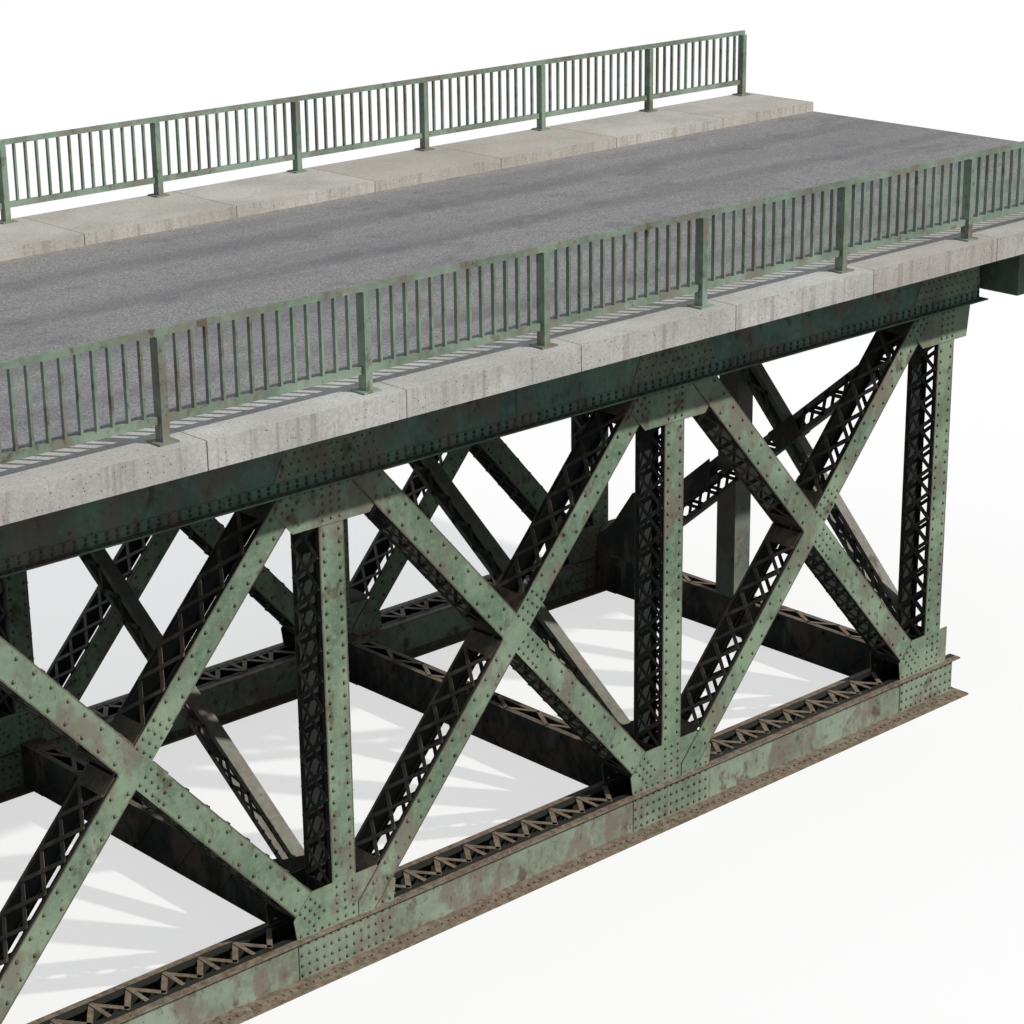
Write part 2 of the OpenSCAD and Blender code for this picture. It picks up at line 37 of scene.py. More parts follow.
VERTICALS = [k * PANEL for k in range(-2, 3)]
INNER = VERTICALS[1:-1]
BAYS = VERTICALS[:-1]
HALF = 2 * PANEL
OUTER = 3.85                      # outer plate plane of each truss
DEPTH = 0.54                      # between the plate planes of one truss
PLATE = 0.012
CHORD_TOP = 0.575
SOFFIT = 6.23
LOW_WORK = 0.30
HIGH_WORK = 6.80
SLOPE = math.atan2(HIGH_WORK - LOW_WORK, PANEL)
BAR_LEN = math.hypot(PANEL, HIGH_WORK - LOW_WORK)
FALLING_W = 0.36
RISING_W = 0.325
VERTICAL_W = 0.37
STRUT_HALF = 0.165
STRUT_TOP = 0.68
STRUT_END = 3.23
SWAY_HALF = 0.095
SWAY_DEPTH = 0.33
SWAY_FOOT = (-3.298, 0.70)
SWAY_SLOPE = (5.495 - 0.70) / (2 * 3.298)
LONG_TOP = (-3.298, 5.71)
LONG_SLOPE = -math.tan(math.radians(40))
STEEP_FOOT = (-3.298, 1.11)
STEEP_SLOPE = math.tan(math.radians(47))
NEAR_ROAD_Y = -4.525
FAR_ROAD_Y = 3.825

# truss layers: plane of the plates and the way they face
LAYERS = {"near_outer": (-OUTER, -1), "near_inner": (-OUTER + DEPTH, 1),
          "far_inner": (OUTER - DEPTH, -1), "far_outer": (OUTER, 1)}
TRUSSES = {"near": -1, "far": 1}


# ---------------------------------------------------------------- shader maths
class Value:
    """A socket that adds, multiplies and compares like a number."""

    def __init__(self, shade, socket):
        self.shade = shade
        self.socket = socket

    def _math(self, operation, a, b=0.0):
        return self.shade.node("ShaderNodeMath", {"operation": operation}, {0: a, 1: b})

    def __add__(self, other):
        return self._math("ADD", self, other)

    def __radd__(self, other):
        return self._math("ADD", other, self)

    def __sub__(self, other):
        return self._math("SUBTRACT", self, other)

    def __rsub__(self, other):
        return self._math("SUBTRACT", other, self)

    def __mul__(self, other):
        return self._math("MULTIPLY", self, other)

    def __rmul__(self, other):
        return self._math("MULTIPLY", other, self)

    def __abs__(self):
        return self._math("ABSOLUTE", self)

    def nearest(self, pitch):
        """Distance to the nearest multiple of pitch."""
        return self._math("PINGPONG", self, pitch / 2)

    def whole(self):
        return self._math("FLOOR", self)

    def most(self, other):
        return self._math("MAXIMUM", self, other)

    def ramp(self, low, high):
        """0 below low, 1 above high, smooth between; falls where low is the larger."""
        return self.shade.node("ShaderNodeMapRange", {"interpolation_type": "SMOOTHSTEP"},
                               {"Value": self, "From Min": low, "From Max": high})


class Network:
    """A node tree in which one method adds every node."""

    def __init__(self, tree):
        self.tree = tree

    def node(self, kind, settings, sockets, output=0):
        made = self.tree.nodes.new(kind)
        for key, value in settings.items():
            setattr(made, key, value)
        for key, value in sockets.items():
            self.feed(made.inputs[key], value)
        return Value(self, made.outputs[output])

    def feed(self, socket, value):
        if isinstance(value, Value):
            self.tree.links.new(value.socket, socket)
        else:
            socket.default_value = value


class Shade(Network):
    """One procedural material."""

    def __init__(self, name):
        self.material = bpy.data.materials.new(name)
        self.material.use_nodes = True
        super().__init__(self.material.node_tree)
        self.shader = self.tree.nodes["Principled BSDF"]
        self.place = self.node("ShaderNodeTexCoord", {}, {}, "Object")
        split = self.node("ShaderNodeSeparateXYZ", {}, {0: self.place}, "X")
        self.x, self.y, self.z = (Value(self, s) for s in split.socket.node.outputs)
        facing = self.node("ShaderNodeNewGeometry", {}, {}, "Normal")
        turned = self.node("ShaderNodeSeparateXYZ", {}, {0: facing}, "X")
        self.facing_across = Value(self, turned.socket.node.outputs["Y"])
        self.facing_up = Value(self, turned.socket.node.outputs["Z"])

    def moved(self, stretch, shift=(0, 0, 0)):
        return self.node("ShaderNodeMapping", {},
                         {"Vector": self.place, "Scale": stretch, "Location": shift})

    def noise(self, stretch, detail=4.0, rough=0.55, shift=(0, 0, 0)):
        return self.node("ShaderNodeTexNoise", {},
                         {"Vector": self.moved(stretch, shift), "Scale": 1.0,
                          "Detail": detail, "Roughness": rough}, "Fac")

    def cells(self, stretch, shift=(0, 0, 0)):
        return self.node("ShaderNodeTexVoronoi", {},
                         {"Vector": self.moved(stretch, shift), "Scale": 1.0}, "Distance")

    def chance(self, number):
        """A steady random value for each whole number."""
        return self.node("ShaderNodeTexWhiteNoise", {"noise_dimensions": "1D"}, {"W": number},
                         "Value")

    def off_middle(self, member):
        """Distance from the middle line of the nearest vertical or diagonal."""
        if member == "vertical":
            return self.x.nearest(PANEL)
        lean = -1 if member == "rising" else 1
        across = self.x * (lean * math.sin(SLOPE)) + (self.z - LOW_WORK) * math.cos(SLOPE)
        return across.nearest(PANEL * math.sin(SLOPE))

    def mix(self, share, a, b):
        """Colour a where share is 0, colour b where it is 1."""
        made = self.node("ShaderNodeMix", {"data_type": "RGBA"}, {0: share}, 2)
        for index, value in ((6, a), (7, b)):
            colour = value if isinstance(value, Value) else (*value, 1.0)
            self.feed(made.socket.node.inputs[index], colour)
        return made

    def finish(self, colour, rough, height, depth):
        self.feed(self.shader.inputs["Base Color"], colour)
        self.feed(self.shader.inputs["Roughness"], rough)
        bump = self.node("ShaderNodeBump", {}, {"Height": height, "Distance": depth,
                                                "Strength": 1.0})
        self.feed(self.shader.inputs["Normal"], bump)
        return self.material


def tone(r, g, b):
    """A colour given as screen levels from 0 to 255."""
    def linear(v):
        v /= 255.0
        return v / 12.92 if v <= 0.04045 else ((v + 0.055) / 1.055) ** 2.4
    return tuple(linear(v) for v in (r, g, b))


RUST = tone(104, 78, 62)
RUST_DARK = tone(66, 50, 42)
BROWN = tone(124, 108, 98)
DUST = tone(150, 136, 118)
# Near-black colour of the painted shade inside the box members
BOX_SHADE = tone(34, 36, 33)
INSIDE = (OUTER - DEPTH + PLATE, OUTER - PLATE)
BOX_MIDDLE = OUTER - DEPTH / 2


def paint(name, light, dark, rust=0.5, streaks=0.5, dusty_tops=0.0, brown_levels=(),
          member=None, edge=0.0, box_shade=False):
    """Old green paint: mottling, brown areas, rust, streaks, dusty tops, worn edges, and painted
    shade inside the box members.
    """
    s = Shade(name)
    broad = s.noise((0.8, 0.8, 0.8), 3.0)
    fine = s.noise((11.0, 11.0, 11.0), 6.0, 0.7)
    colour = s.mix(broad.ramp(0.38, 0.64), dark, light)
    colour = s.mix(fine.ramp(0.35, 0.75) * 0.5, colour, tuple(1.25 * v for v in light))
    chalk = s.noise((3.0, 3.0, 0.8), 5.0, 0.6, (7, 3, 1)).ramp(0.55, 0.75)
    colour = s.mix(chalk * 0.35, colour, tone(172, 182, 166))
    brown = s.noise((1.7, 1.7, 1.0), 9.0, 0.66, (6, 1, 3)).ramp(0.50, 0.60)
    colour = s.mix(brown * (0.35 + 0.5 * rust), colour, BROWN)
    patch = s.noise((3.2, 3.2, 2.4), 9.0, 0.66, (3, 9, 5))
    run = s.noise((8.0, 8.0, 0.55), 6.0, 0.6, (1, 4, 8))
    spots = s.noise((15.0, 15.0, 9.0), 5.0, 0.66, (2, 2, 6))
    worn = patch.ramp(0.60 - 0.08 * rust, 0.70 - 0.06 * rust)
    worn = worn.most(run.ramp(0.60, 0.78) * streaks)
    worn = worn.most(spots.ramp(0.60, 0.68) * min(1.0, 0.6 + 0.5 * rust))
    rusty = s.mix(s.noise((7, 7, 7), 5.0, 0.6, (5, 5, 5)).ramp(0.35, 0.65), RUST_DARK, RUST)
    colour = s.mix(worn * (0.5 + 0.4 * rust), colour, rusty)
    if dusty_tops:
        top = s.facing_up.ramp(0.5, 0.9)
        grime = s.mix(fine.ramp(0.3, 0.7), tone(104, 88, 75), DUST)
        colour = s.mix(top * dusty_tops, colour, grime)
    for low, high in brown_levels:
        level = s.z.ramp(low - 0.004, low) * s.z.ramp(high + 0.004, high)
        worn_edge = s.mix(fine.ramp(0.3, 0.7), tone(96, 78, 66), DUST)
        colour = s.mix(level * 0.85, colour, worn_edge)
    if member:
        line = s.off_middle(member).ramp(edge - 0.028, edge - 0.010)
        colour = s.mix(line * fine.ramp(0.25, 0.55) * 0.8, colour, tone(92, 76, 66))
    # Painted shade: faces inside a box member, between its two plate layers or turned in towards its
    # middle, are darkened towards near-black.
    if box_shade:
        inside = abs(s.y).ramp(INSIDE[0], INSIDE[0] + 0.006)
        inside = inside * abs(s.y).ramp(INSIDE[1], INSIDE[1] - 0.006)
        inward = (s.facing_across * s.y * (abs(s.y) - BOX_MIDDLE)).ramp(-0.3, -0.6)
        colour = s.mix(inside.most(inward) * 0.95, colour, BOX_SHADE)
    rough = 0.55 + 0.3 * worn
    return s.finish(colour, rough, fine * 0.5 + worn * 0.5, 0.002)


SAGE_LIGHT = tone(140, 158, 134)
SAGE_DARK = tone(100, 122, 102)


def sage(name, member=None, edge=0.0):
    return paint(name, SAGE_LIGHT, SAGE_DARK, 0.5, 0.5, 0.6, (), member, edge, True)


PLATE_SAGE = sage("sage_paint")
VERTICAL_SAGE = sage("vertical_sage_paint", "vertical", VERTICAL_W / 2)
RISING_SAGE = sage("rising_sage_paint", "rising", RISING_W / 2)
FALLING_SAGE = sage("falling_sage_paint", "falling", FALLING_W / 2)
SAGE_CHORD = paint("chord_paint", tone(146, 160, 140), tone(116, 122, 104), 0.7, 0.9, 0.9,
                   ((0.0, 0.032), (0.548, 0.577)), None, 0.0, True)
TOP_CHORD = paint("top_chord_paint", tone(116, 148, 132), tone(84, 106, 98), 0.6, 0.9, 0.5,
                  (), None, 0.0, True)
# Painted shade: a darker copy of the green for the members inside the bridge and under the deck,
# standing in for their shade.
SHADED_INNER_PAINT = paint("inner_paint", tone(74, 78, 72), tone(46, 50, 47), 0.5, 0.4, 0.55)
SWAY_PAINT = paint("sway_paint", tone(122, 128, 118), tone(92, 98, 92), 0.4, 0.4, 0.3)
# Painted shade: a darker copy of the green for the lacing bars on the members' sides, standing in for
# their shade.
SHADED_LACING_PAINT = paint("lacing_paint", tone(66, 70, 64), tone(42, 45, 41), 0.6, 0.3, 0.5)
RAILING_PAINT = paint("railing_paint", tone(136, 154, 138), tone(104, 117, 103), 0.5, 0.4, 0.2)
GIRDER_PAINT = paint("girder_paint", tone(132, 150, 128), tone(98, 116, 100), 0.3, 0.4)
RIVET_PAINT = paint("rivet_paint", tone(116, 118, 104), tone(70, 70, 62), 0.8, 0.5, 0.3)
DARK_RIVET = paint("dark_rivet_paint", tone(78, 84, 76), tone(50, 54, 50), 0.8, 0.5, 0.3)
CHORD_LACING = paint("chord_lacing_paint", tone(140, 128, 110), tone(104, 92, 80), 0.8, 0.2, 0.8)


def concrete(name, light, dark, block=0.0, first=0.0):
    """Pale precast concrete with pores, soft stains, streaks, and a tint for each block."""
    s = Shade(name)
    broad = s.noise((0.9, 0.9, 0.9), 4.0)
    grain = s.noise((30.0, 30.0, 30.0), 4.0, 0.7)
    streak = s.noise((9.0, 9.0, 0.6), 5.0, 0.65, (2, 0, 4))
    pores = s.cells((17.0, 17.0, 17.0)).ramp(0.17, 0.11) * s.noise((3, 3, 3), 2.0).ramp(0.38, 0.5)
    colour = s.mix(broad.ramp(0.35, 0.65), dark, light)
    if block:
        tint = s.chance(((s.x - first) * (1 / block)).whole())
        colour = s.mix(tint.ramp(0.35, 0.9) * 0.40, colour, tone(168, 158, 147))
    upright = 1.0 - abs(s.facing_up).ramp(0.3, 0.7)
    colour = s.mix(streak.ramp(0.48, 0.70) * upright * 0.5, colour, tone(132, 118, 104))
    colour = s.mix(grain.ramp(0.35, 0.65) * 0.30, colour, tone(116, 112, 106))
    colour = s.mix(pores * 0.85, colour, tone(88, 84, 78))
    return s.finish(colour, 0.9, grain * 0.4 - pores, 0.003)


BLOCK = 2.65                      # length of a kerb block
NEAR_JOINT = 2.487                # where the first joint of a kerb lies
FAR_JOINT = 1.837
NEAR_KERB = concrete("near_kerb_concrete", tone(206, 205, 202), tone(186, 184, 180), BLOCK,
                     NEAR_JOINT)
FAR_KERB = concrete("far_kerb_concrete", tone(202, 198, 192), tone(182, 178, 171), BLOCK,
                    FAR_JOINT)
SLAB_CONCRETE = concrete("slab_concrete", tone(150, 148, 143), tone(116, 114, 110))


def asphalt(name):
    """Worn asphalt: speckle, blotches, darker wheel tracks along the road, pale grit by the kerbs."""
    s = Shade(name)
    speck = s.noise((30.0, 30.0, 30.0), 4.0, 0.85)
    coarse = s.noise((9.0, 9.0, 9.0), 5.0, 0.75, (4, 4, 4))
    drift = s.noise((0.25, 1.3, 1.0), 4.0, 0.6)
    blotch = s.noise((1.1, 1.6, 1.0), 6.0, 0.6, (8, 2, 2))
    colour = s.mix(speck.ramp(0.36, 0.64), tone(104, 103, 106), tone(164, 162, 161))
    colour = s.mix(coarse.ramp(0.50, 0.62) * 0.35, colour, tone(98, 97, 101))
    colour = s.mix(drift.ramp(0.42, 0.62) * 0.35, colour, tone(112, 112, 116))
    colour = s.mix(blotch.ramp(0.54, 0.66) * 0.30, colour, tone(84, 84, 90))
    for track in (-3.0, -1.2, 0.6, 2.4):
        off = abs(s.y - track + (drift - 0.5) * 0.6)
        colour = s.mix(off.ramp(0.42, 0.05) * 0.35, colour, tone(88, 87, 92))
    edge = (s.y - NEAR_ROAD_Y).ramp(0.35, 0.0).most((FAR_ROAD_Y - s.y).ramp(0.45, 0.0))
    grit = edge * coarse.ramp(0.45, 0.58)
    colour = s.mix(grit * 0.6, colour, tone(170, 160, 142))
    return s.finish(colour, 0.93, speck, 0.004)


ASPHALT = asphalt("road_asphalt")


SPLICE_PAINT = paint("splice_paint", tone(142, 156, 134), tone(108, 120, 102), 0.6, 0.6, 0.3,
                     (), None, 0.0, True)
FINISHES = {
    VERTICAL_SAGE: ["near_verticals", "far_verticals"],
    FALLING_SAGE: ["near_falling_diagonals", "far_falling_diagonals"],
    RISING_SAGE: ["near_rising_diagonals", "far_rising_diagonals"],
    PLATE_SAGE: ["near_top_gussets", "far_top_gussets", "near_bottom_gussets",
                 "far_bottom_gussets", "near_crossing_plates", "far_crossing_plates"],
    SPLICE_PAINT: ["near_splice_plates", "far_splice_plates"],
    SAGE_CHORD: ["near_bottom_chord", "far_bottom_chord"],
    TOP_CHORD: ["near_top_chord", "far_top_chord"],
    SHADED_INNER_PAINT: ["chord_ties", "bottom_struts", "sway_corner_gussets", "floor_beams",
                  "stringers", "deck_brackets"],
    SWAY_PAINT: ["sway_braces", "end_long_braces", "end_steep_braces", "end_sway_posts"],
    GIRDER_PAINT: ["end_cross_beams", "approach_girders"],
    SLAB_CONCRETE: ["deck_slab"],
    ASPHALT: ["road_surface"],
    NEAR_KERB: ["near_kerb"],
    FAR_KERB: ["far_walkway"],
    RAILING_PAINT: ["near_railing_posts", "far_railing_posts", "near_railing", "far_railing"],
}
for finish, nodes in FINISHES.items():
    for node in nodes:
        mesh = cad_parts[node].data
        mesh.materials.clear()
        mesh.materials.append(finish)


# ---------------------------------------------------------------- repeated shapes
def shape_arrays(shape):
    shape.normal_update()
    verts = np.array([v.co[:] for v in shape.verts])
    faces = [[v.index for v in f.verts] for f in shape.faces]
    shape.free()
    return verts, faces


def rivet_head():
    """A round head of radius 1, flat underneath, standing on the xy plane."""
    shape = bmesh.new()
    bmesh.ops.create_uvsphere(shape, u_segments=8, v_segments=4, radius=1.0)
    bmesh.ops.bisect_plane(shape, geom=shape.verts[:] + shape.edges[:] + shape.faces[:],
                           dist=0.0001, plane_co=(0, 0, 0), plane_no=(0, 0, 1),
                           clear_inner=True)
    bmesh.ops.holes_fill(shape, edges=[e for e in shape.edges if e.is_boundary], sides=0)
    bmesh.ops.recalc_face_normals(shape, faces=shape.faces[:])
    return shape_arrays(shape)


def unit_bar():
    shape = bmesh.new()
    bmesh.ops.create_cube(shape, size=1.0)
    return shape_arrays(shape)


class Copies:
    """Many copies of one shape joined into one mesh."""

    def __init__(self, shape):
        self.verts, self.faces = shape
        self.frames = []

    def add(self, origin, x, y, z):
        self.frames.append((np.array(origin, float), np.array([x, y, z], float)))

    def piece(self, name, material, slot, smooth=False):
        count = len(self.verts)
        verts = np.concatenate([self.verts @ axes + origin for origin, axes in self.frames])
        faces = [[v + i * count for v in face]
                 for i in range(len(self.frames)) for face in self.faces]
        mesh = bpy.data.meshes.new(name)
        mesh.from_pydata(verts.tolist(), [], faces)
        mesh.polygons.foreach_set("use_smooth", [smooth] * len(mesh.polygons))
        mesh.materials.append(material)
        made = bpy.data.objects.new(name, mesh)
        bpy.context.scene.collection.objects.link(made)
        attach(made, "root")
        return made


RIVET = rivet_head()
BAR = unit_bar()


def across_axes(normal):
    normal = np.array(normal, float) / np.linalg.norm(normal)
    other = np.array([0, 0, 1.0]) if abs(normal[2]) < 0.9 else np.array([1.0, 0, 0])
    x = np.cross(other, normal)
    x /= np.linalg.norm(x)
    return x, np.cross(normal, x), normal


MEMBER_RIVET = 0.027              # radii of the heads
PLATE_RIVET = 0.024
SEAM_RIVET = 0.022
SPLICE_RIVET = 0.026
TOP_SPLICE_RIVET = 0.017
HEAD_RISE = 0.75                  # height of a head over its radius
FLAT_HEAD = (0.022, 0.016)        # radius and height of the flatter heads


def rivet(copies, place, normal, radius, height):
    x, y, z = across_axes(normal)
    copies.add(place, x * radius, y * radius, z * height)


def bar(copies, start, end, normal, width, thick, lift=0.0):
    """A flat bar from start to end, its broad side facing the normal."""
    start, end = np.array(start, float), np.array(end, float)
    normal = np.array(normal, float) / np.linalg.norm(normal)
    length = np.linalg.norm(end - start)
    run = (end - start) / length
    side = np.cross(normal, run)
    copies.add((start + end) / 2 + normal * lift, run * (length + width * 0.6), side * width,
               normal * thick)


def spaced(low, high, pitch):
    count = max(1, round((high - low) / pitch))
    return [low + (high - low) * i / count for i in range(count + 1)]


# ---------------------------------------------------------------- lines of the diagonals
def on_diagonal(kind, x0, station, off):
    """Point of a diagonal in the truss plane: station from its foot, off from its middle."""
    x = station * math.cos(SLOPE) - off * math.sin(SLOPE)
    z = LOW_WORK + station * math.sin(SLOPE) + off * math.cos(SLOPE)
    return (x0 + x, z) if kind == "rising" else (x0 + PANEL - x, z)


MID = BAR_LEN / 2
KINDS = {"rising": RISING_W, "falling": FALLING_W}
# (kind, half): (first station, last station, how far out the plate face lies)
HALVES = {("rising", "lower"): (0.62, MID - 0.28, 2 * PLATE),
          ("rising", "upper"): (MID + 0.66, BAR_LEN - 1.20, 0.0),
          ("falling", "lower"): (1.02, MID - 0.66, 0.0),
          ("falling", "upper"): (MID + 0.28, BAR_LEN - 0.98, 2 * PLATE)}


VERTICAL_COLUMNS = ((-0.110, 0.0), (0.117, 0.035))   # place across, and shift up
VERTICAL_PITCH = 0.165
PLATE_COLUMNS = (-0.125, 0.0, 0.125)
MEMBER_COLUMNS = (-0.11, 0.0, 0.11)
DIAGONAL_PITCH = 0.145
DIAGONAL_EDGE = 0.075
SPLICE_ROWS = (0.085, 0.215, 0.355, 0.495)
SPLICE_REACH = 0.70
SPLICE_PAST = 0.49
TOP_SPLICE_FOOT = 6.45
TOP_SPLICE_REACH = 0.75
TOP_SPLICE_LEAN = 0.45
LEDGE_OUT = 0.150
ANGLE_OUT = 0.080
ANGLE_ROWS = (6.283, 6.343)
ANGLE_END = HALF + 0.70
TOP_CHORD_END = HALF + 0.72
BOTTOM_CHORD_END = HALF + 0.48


def truss_rivets(layer):
    """Heads on the outside of one plate layer: members, gussets, splices and ledge."""
    y, out = LAYERS[layer]
    heads = Copies(RIVET)

    def head(x, z, level=0.0, radius=MEMBER_RIVET):
        rivet(heads, (x, y + out * level, z), (0, out, 0), radius, radius * HEAD_RISE)

    def row_across(kind, x0, station):
        for off in MEMBER_COLUMNS:
            px, pz = on_diagonal(kind, x0, station, off)
            head(px, pz, PLATE, PLATE_RIVET)

    for x in VERTICALS:
        for off, shift in VERTICAL_COLUMNS:
            for z in spaced(1.22, 5.60, VERTICAL_PITCH):
                head(x + off, z + shift)
        for off in PLATE_COLUMNS:
            for z in spaced(0.64, 1.08, 0.11) + spaced(5.79, 6.17, 0.095):
                head(x + off, z, PLATE, PLATE_RIVET)
    # diagonals, and the crossing plate's arms over the back members
    for x in BAYS:
        for (kind, half), (first, last, level) in HALVES.items():
            reach = KINDS[kind] / 2 - DIAGONAL_EDGE
            for i, station in enumerate(spaced(first, last, DIAGONAL_PITCH)):
                px, pz = on_diagonal(kind, x, station, reach if i % 2 else -reach)
                head(px, pz, level)
        for station in spaced(0.20, 0.56, 0.12):
            row_across("rising", x, MID + station)
            row_across("falling", x, MID - station)
    # gussets: seams along the chords, and rows over the members behind the plates
    for x in VERTICALS:
        for sign in (-1, 1):
            if abs(x + sign) > HALF + 0.5:
                continue
            for off in spaced(0.26, 0.70, 0.11):
                for seam in (0.615, 6.185):
                    head(x + sign * off, seam, PLATE, SEAM_RIVET)
        if x > -HALF:
            for station in spaced(0.62, 0.92, 0.10):
                row_across("falling", x - PANEL, station)
            for station in spaced(BAR_LEN - 1.06, BAR_LEN - 0.86, 0.10):
                row_across("rising", x - PANEL, station)
    # splice plates
    for x in VERTICALS:
        first = x - (SPLICE_REACH if x > 1 - HALF else SPLICE_PAST)
        last = x + (SPLICE_REACH if x < HALF - 1 else SPLICE_PAST)
        for px in spaced(first, last, 0.117):
            for pz in SPLICE_ROWS:
                head(px, pz, PLATE, SPLICE_RIVET)
        for row in range(8):
            rise = row * 0.112
            reach = TOP_SPLICE_REACH - (rise + 0.07) * TOP_SPLICE_LEAN
            for px in spaced(-reach, reach, 0.125):
                if abs(x + px) < TOP_CHORD_END:
                    head(x + px, TOP_SPLICE_FOOT + rise, PLATE, TOP_SPLICE_RIVET)
    for px in spaced(-BOTTOM_CHORD_END, BOTTOM_CHORD_END, 0.115):
        rivet(heads, (px, y + out * LEDGE_OUT, 0.030), (0, 0, 1), *FLAT_HEAD)
    return heads


def edge_angle_rivets(layer):
    """Paired heads on the edge angle under the top chord, and along its flange."""
    y, out = LAYERS[layer]
    heads = Copies(RIVET)
    for px in spaced(-ANGLE_END, ANGLE_END, 0.135):
        for pz in ANGLE_ROWS:
            rivet(heads, (px, y + out * PLATE, pz), (0, out, 0), SPLICE_RIVET, 0.020)
        for pz, up in ((SOFFIT + 0.020, 1), (SOFFIT, -1)):
            rivet(heads, (px, y + out * ANGLE_OUT, pz), (0, 0, up), *FLAT_HEAD)
    return heads


for layer in LAYERS:
    truss_rivets(layer).piece(layer + "_rivets", RIVET_PAINT, "sage_paint", smooth=True)
    edge_angle_rivets(layer).piece(layer + "_angle_rivets", DARK_RIVET, "chord_paint",
                                   smooth=True)


# ---------------------------------------------------------------- lacing inside the trusses
LACING_PITCH = 0.40
DIAGONAL_LACING_PITCH = 0.43
LACING_BAR = (0.055, 0.009)       # width and thickness
LACING_INSET = 0.045
TIE_PLATE = 0.010
TIE_LIFT = 0.008
TIE_LEN = 0.25


def side_point(kind, x0, station, off, y):
    x, z = on_diagonal(kind, x0, station, off)
    return (x, y, z)


def crossed_lacing(copies, start, end, rows, normal, pitch):
    """Crossed flat bars between two rows that run from start to end at two depths."""
    start, end = np.array(start, float), np.array(end, float)
    count = max(1, round(np.linalg.norm(end - start) / pitch))
    for i in range(count):
        a = start + (end - start) * i / count
        b = start + (end - start) * (i + 1) / count
        for (ya, yb), lift in ((rows, 0.006), (rows[::-1], 0.015)):
            bar(copies, (a[0], ya, a[2]), (b[0], yb, b[2]), normal, *LACING_BAR, lift)


def truss_lacing(truss):
    """Crossed bars and tie plates on the narrow sides of the verticals and diagonals."""
    sign = TRUSSES[truss]
    rows = sorted((sign * (OUTER - LACING_INSET), sign * (OUTER - DEPTH + LACING_INSET)))
    middle = sign * (OUTER - DEPTH / 2)
    across = (0, DEPTH - 2 * PLATE, 0)
    bars = Copies(BAR)
    for x in VERTICALS:
        for side in (-1, 1):
            px = x + side * VERTICAL_W / 2
            crossed_lacing(bars, (px, 0, 1.10), (px, 0, 5.72), rows, (side, 0, 0), LACING_PITCH)
            for z0, z1 in ((0.58, 1.08), (5.74, 6.22)):
                bars.add((px + side * TIE_LIFT, middle, (z0 + z1) / 2), (TIE_PLATE, 0, 0),
                         across, (0, 0, z1 - z0))
    for x in BAYS:
        for kind, half in HALVES:
            along = 1 if kind == "rising" else -1
            first, last = ((1.05, MID - 0.45) if half == "lower"
                           else (MID + 0.45, BAR_LEN - 1.25))
            for side in (-1, 1):
                normal = np.array((-side * math.sin(SLOPE) * along, 0, side * math.cos(SLOPE)))
                off = side * KINDS[kind] / 2
                crossed_lacing(bars, side_point(kind, x, first, off, 0),
                               side_point(kind, x, last, off, 0), rows, normal,
                               DIAGONAL_LACING_PITCH)
                for s0, s1 in ((first - TIE_LEN, first), (last, last + TIE_LEN)):
                    a = np.array(side_point(kind, x, s0, off, middle))
                    b = np.array(side_point(kind, x, s1, off, middle))
                    bars.add((a + b) / 2 + normal * TIE_LIFT, b - a, across, normal * TIE_PLATE)
    return bars


for truss in TRUSSES:
    truss_lacing(truss).piece(truss + "_member_lacing", SHADED_LACING_PAINT, "inner_paint")


CHORD_LACING_ROW = 0.095
CHORD_LACING_PITCH = 0.256


def chord_lacing(truss):
    """Zig-zag and short cross bars over the bottom chord and under the top chord."""
    sign = TRUSSES[truss]
    rows = (sign * (OUTER - CHORD_LACING_ROW), sign * (OUTER - DEPTH + CHORD_LACING_ROW))
    bars = Copies(BAR)
    for x in BAYS:
        for clear, z, normal in ((0.84, CHORD_TOP, 1), (0.2, SOFFIT, -1)):
            stops = spaced(x + clear, x + PANEL - clear, CHORD_LACING_PITCH)
            for i, (a, b) in enumerate(zip(stops, stops[1:])):
                ya, yb = rows if i % 2 else rows[::-1]
                bar(bars, (a, ya, z), (b, yb, z), (0, 0, normal), 0.070, 0.010, 0.006)
                if i % 2 == 0:
                    bar(bars, (a, rows[0], z), (a, rows[1], z), (0, 0, normal), 0.060, 0.010,
                        0.016)
    return bars


for truss in TRUSSES:
    chord_lacing(truss).piece(truss + "_chord_lacing", CHORD_LACING, "chord_paint")


TIE_START = STRUT_END - 0.45
STRUT_LEVELS = ((STRUT_TOP, 1), (0.03, -1))           # height, and the way it faces
STRUT_BAR_X = 0.12
STRUT_BAR_Z = (0.09, 0.62)


def strut_top_lacing():
    """Zig-zag bars over and under the bottom struts, with tie plates at the ends."""
    bars = Copies(BAR)
    for x in VERTICALS:
        for z, normal in STRUT_LEVELS:
            stops = spaced(-TIE_START, TIE_START, 0.42)
            for i, (a, b) in enumerate(zip(stops, stops[1:])):
                xa = -STRUT_BAR_X if i % 2 else STRUT_BAR_X
                bar(bars, (x + xa, a, z), (x - xa, b, z), (0, 0, normal), 0.060, 0.009,
                    0.005 * normal)
            for edge in (-1, 1):
                bars.add((x, edge * (STRUT_END + TIE_START) / 2, z + 0.006 * normal),
                         (2 * STRUT_HALF, 0, 0), (0, STRUT_END - TIE_START, 0),
                         (0, 0, TIE_PLATE))
    return bars


def strut_side_bars():
    """Flat bars in relief on the webs of the bottom struts, with plates at the ends."""
    bars = Copies(BAR)
    for x in VERTICALS:
        for side in (-1, 1):
            px = x + side * STRUT_HALF
            stops = spaced(-TIE_START, TIE_START, 0.46)
            for i, (a, b) in enumerate(zip(stops, stops[1:])):
                za, zb = STRUT_BAR_Z if i % 2 else STRUT_BAR_Z[::-1]
                bar(bars, (px, a, za), (px, b, zb), (side, 0, 0), *LACING_BAR, 0.005)
            for edge in (-1, 1):
                bars.add((px + side * 0.006, edge * (STRUT_END + TIE_START) / 2, 0.355),
                         (TIE_PLATE, 0, 0), (0, STRUT_END - TIE_START, 0), (0, 0, 0.64))
    return bars


strut_top_lacing().piece("strut_top_lacing", CHORD_LACING, "inner_paint")
strut_side_bars().piece("strut_side_bars", SHADED_LACING_PAINT, "inner_paint")


